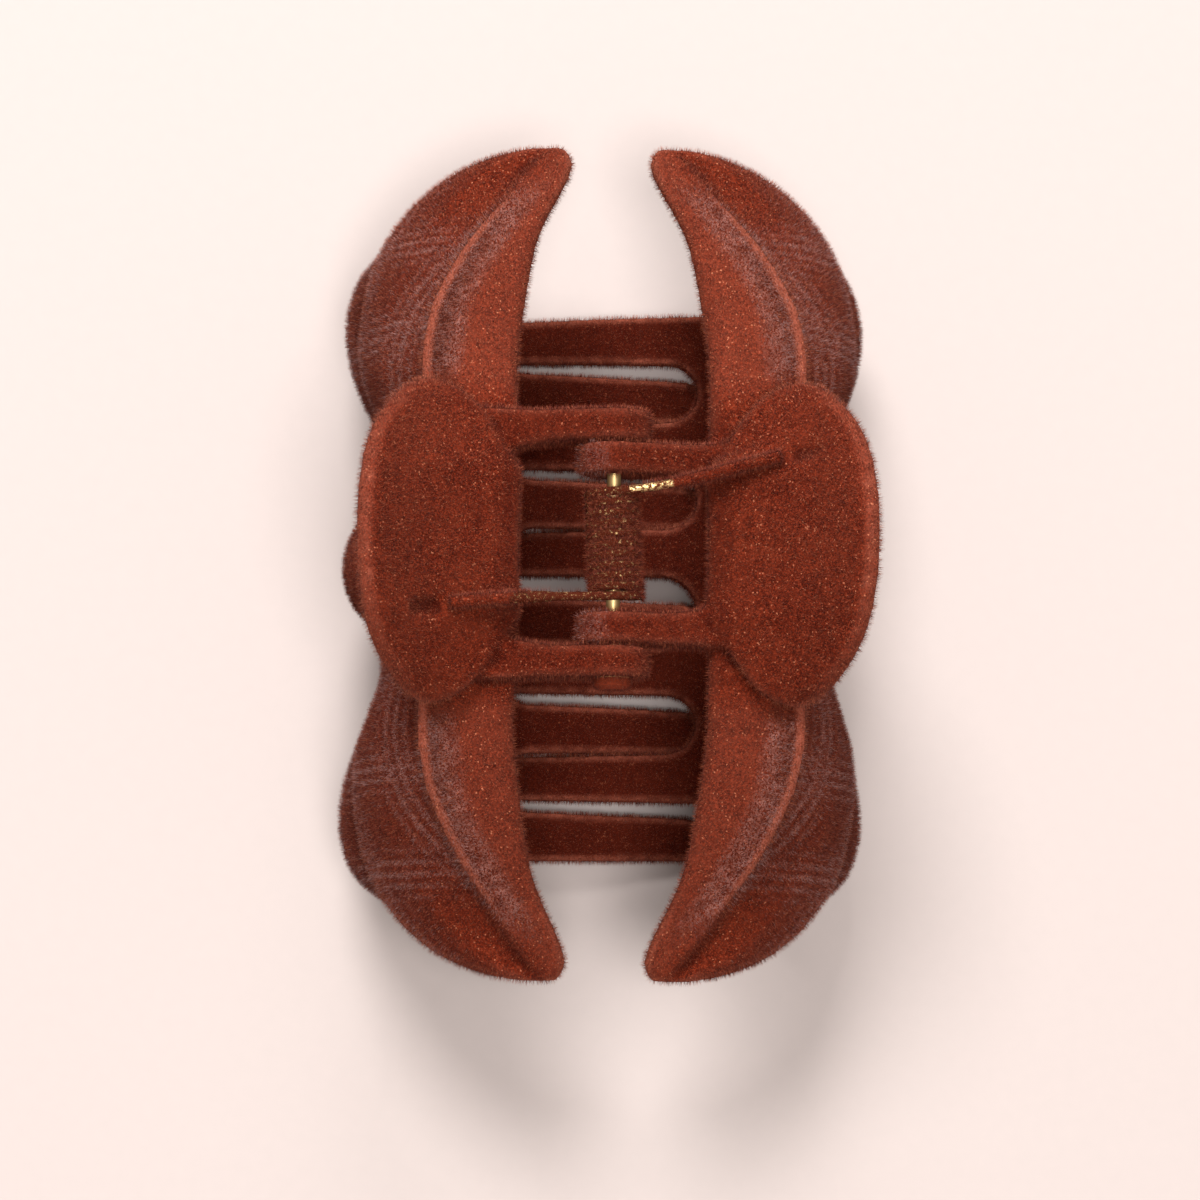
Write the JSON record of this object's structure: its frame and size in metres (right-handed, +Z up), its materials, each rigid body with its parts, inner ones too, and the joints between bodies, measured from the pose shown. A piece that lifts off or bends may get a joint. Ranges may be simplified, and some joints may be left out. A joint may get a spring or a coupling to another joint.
{
  "type": "claw hair clip",
  "caption": "Flocked claw hair clip with ribbon-bow jaws, crossing tines and a coil-sprung hinge between finger levers.",
  "frame": {"origin": "middle of the clip's footprint, on the surface that its tine tips stand on", "axes": "+Z up from the tines towards the finger levers, +Y along the hinge pin away from its head, +X from the left jaw to the right jaw"},
  "size_m": [0.0588, 0.093, 0.061],
  "materials": {
    "flock": "moulded plastic coated all over with short rust-brown flock, like velvet, with a faint printed plaid on the outer faces",
    "gold_metal": "gold-plated wire and pin, dusted with flock"
  },
  "bodies": {
    "left_side": {"left_jaw": "flock", "hinge_pin": "gold_metal", "torsion_spring": "gold_metal"},
    "right_side": {"right_jaw": "flock"}
  },
  "joints": [
    {"name": "jaw_hinge", "type": "hinge", "parent": "left_side", "child": "right_side", "pos_m": [0, 0, 0.0464], "axis": [0, -1, 0], "range_deg": [0, 50], "stiffness_Nm_per_rad": 0.2, "springref_deg": -34.38, "deforming": ["torsion_spring"]}
  ]
}
